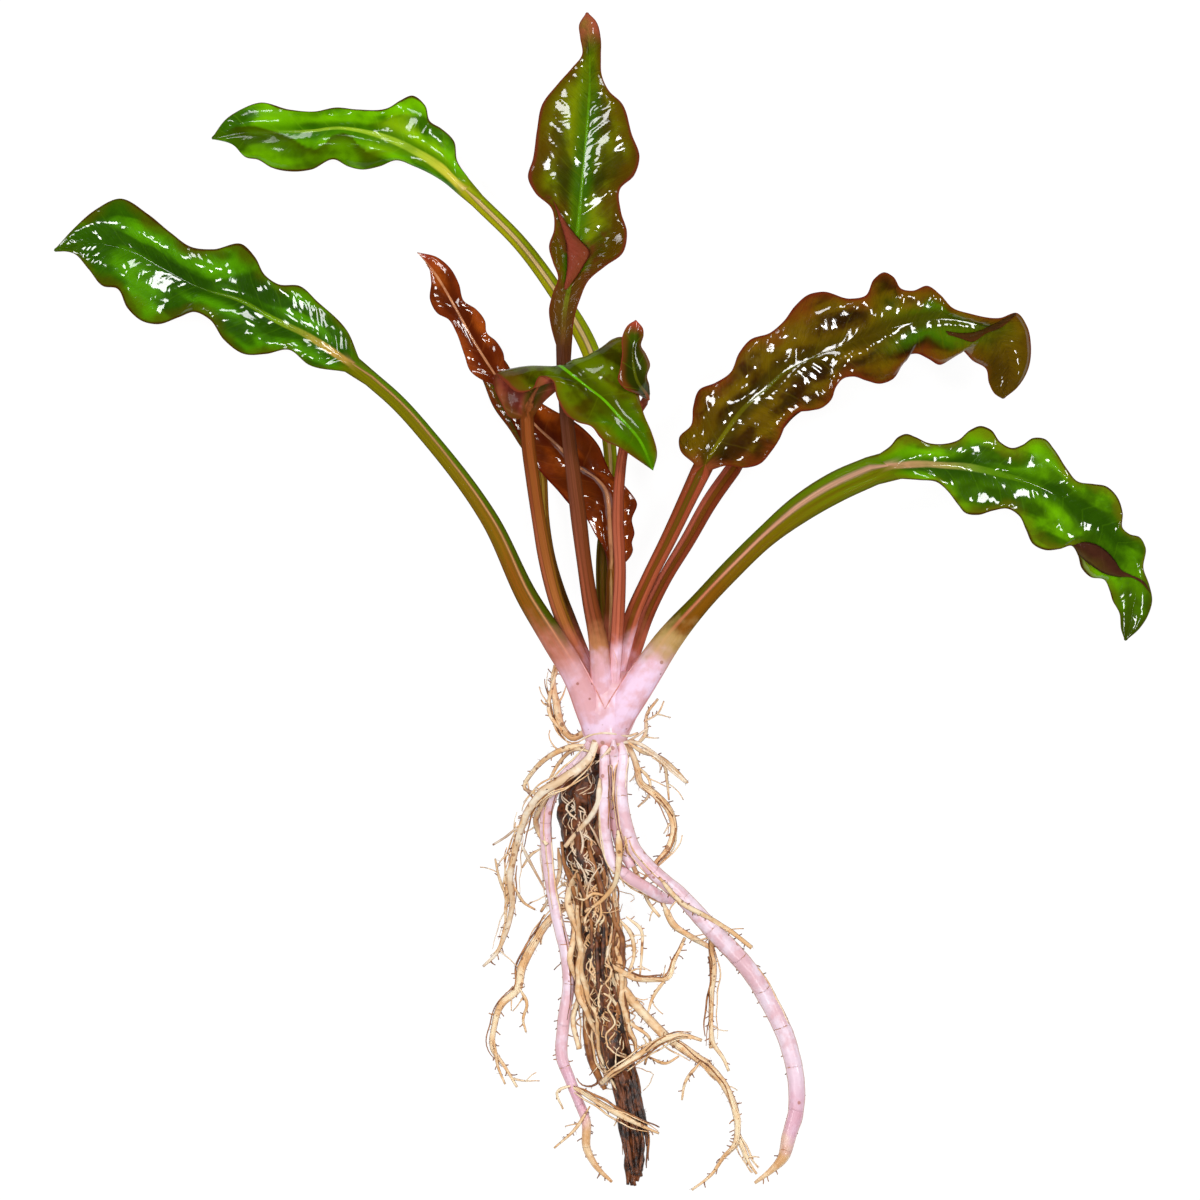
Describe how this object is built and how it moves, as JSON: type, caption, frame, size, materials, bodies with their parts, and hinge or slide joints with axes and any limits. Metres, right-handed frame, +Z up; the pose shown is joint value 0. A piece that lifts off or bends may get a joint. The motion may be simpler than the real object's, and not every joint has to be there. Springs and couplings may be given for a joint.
{
  "type": "cryptocoryne",
  "caption": "Bare-root aquarium plant lying flat, with long wavy-edged leaves on slender stalks, a pale crown and trailing roots.",
  "frame": {"origin": "on the surface that the plant lies on, under the middle of its outline", "axes": "+Z up off the surface, +Y from the roots towards the leaves, +X to the viewer's right when seen from above"},
  "size_m": [0.22, 0.236, 0.0458],
  "materials": {
    "green_leaf": "wet, glossy, mottled green leaf with a yellow-green midrib and a brown margin",
    "bronze_leaf": "wet, glossy, olive to bronze leaf with a red-brown margin",
    "red_leaf": "wet, glossy, red-brown leaf with a pale pink midrib",
    "crown": "pale pink, smooth, moist plant tissue with fine brown flecks",
    "runner": "pale pink, smooth, fleshy runner with small brown rings and flecks",
    "root": "tan, fibrous root with brown flecks",
    "rootstock": "dark brown, knobbly, damp old stem"
  },
  "bodies": {
    "root": {"crown": "crown", "leaf_low_left": "green_leaf", "leaf_high_left": "green_leaf", "leaf_top": "bronze_leaf", "leaf_red": "red_leaf", "leaf_front": "green_leaf", "leaf_young": "green_leaf", "leaf_high_right": "bronze_leaf", "leaf_low_right": "green_leaf", "leaf_behind_right": "bronze_leaf", "leaf_behind_left": "red_leaf", "rootstock": "rootstock", "runner_left": "runner", "runner_middle": "runner", "runner_right": "runner", "root_long_left": "root", "root_low_left": "root", "root_low_right": "root", "root_low_right_fork": "root", "root_cross_upper": "root", "root_cross_lower": "root", "root_side": "root", "root_hanging": "root", "root_loop_right": "root", "root_behind": "root", "root_beside_crown": "root"}
  },
  "joints": []
}
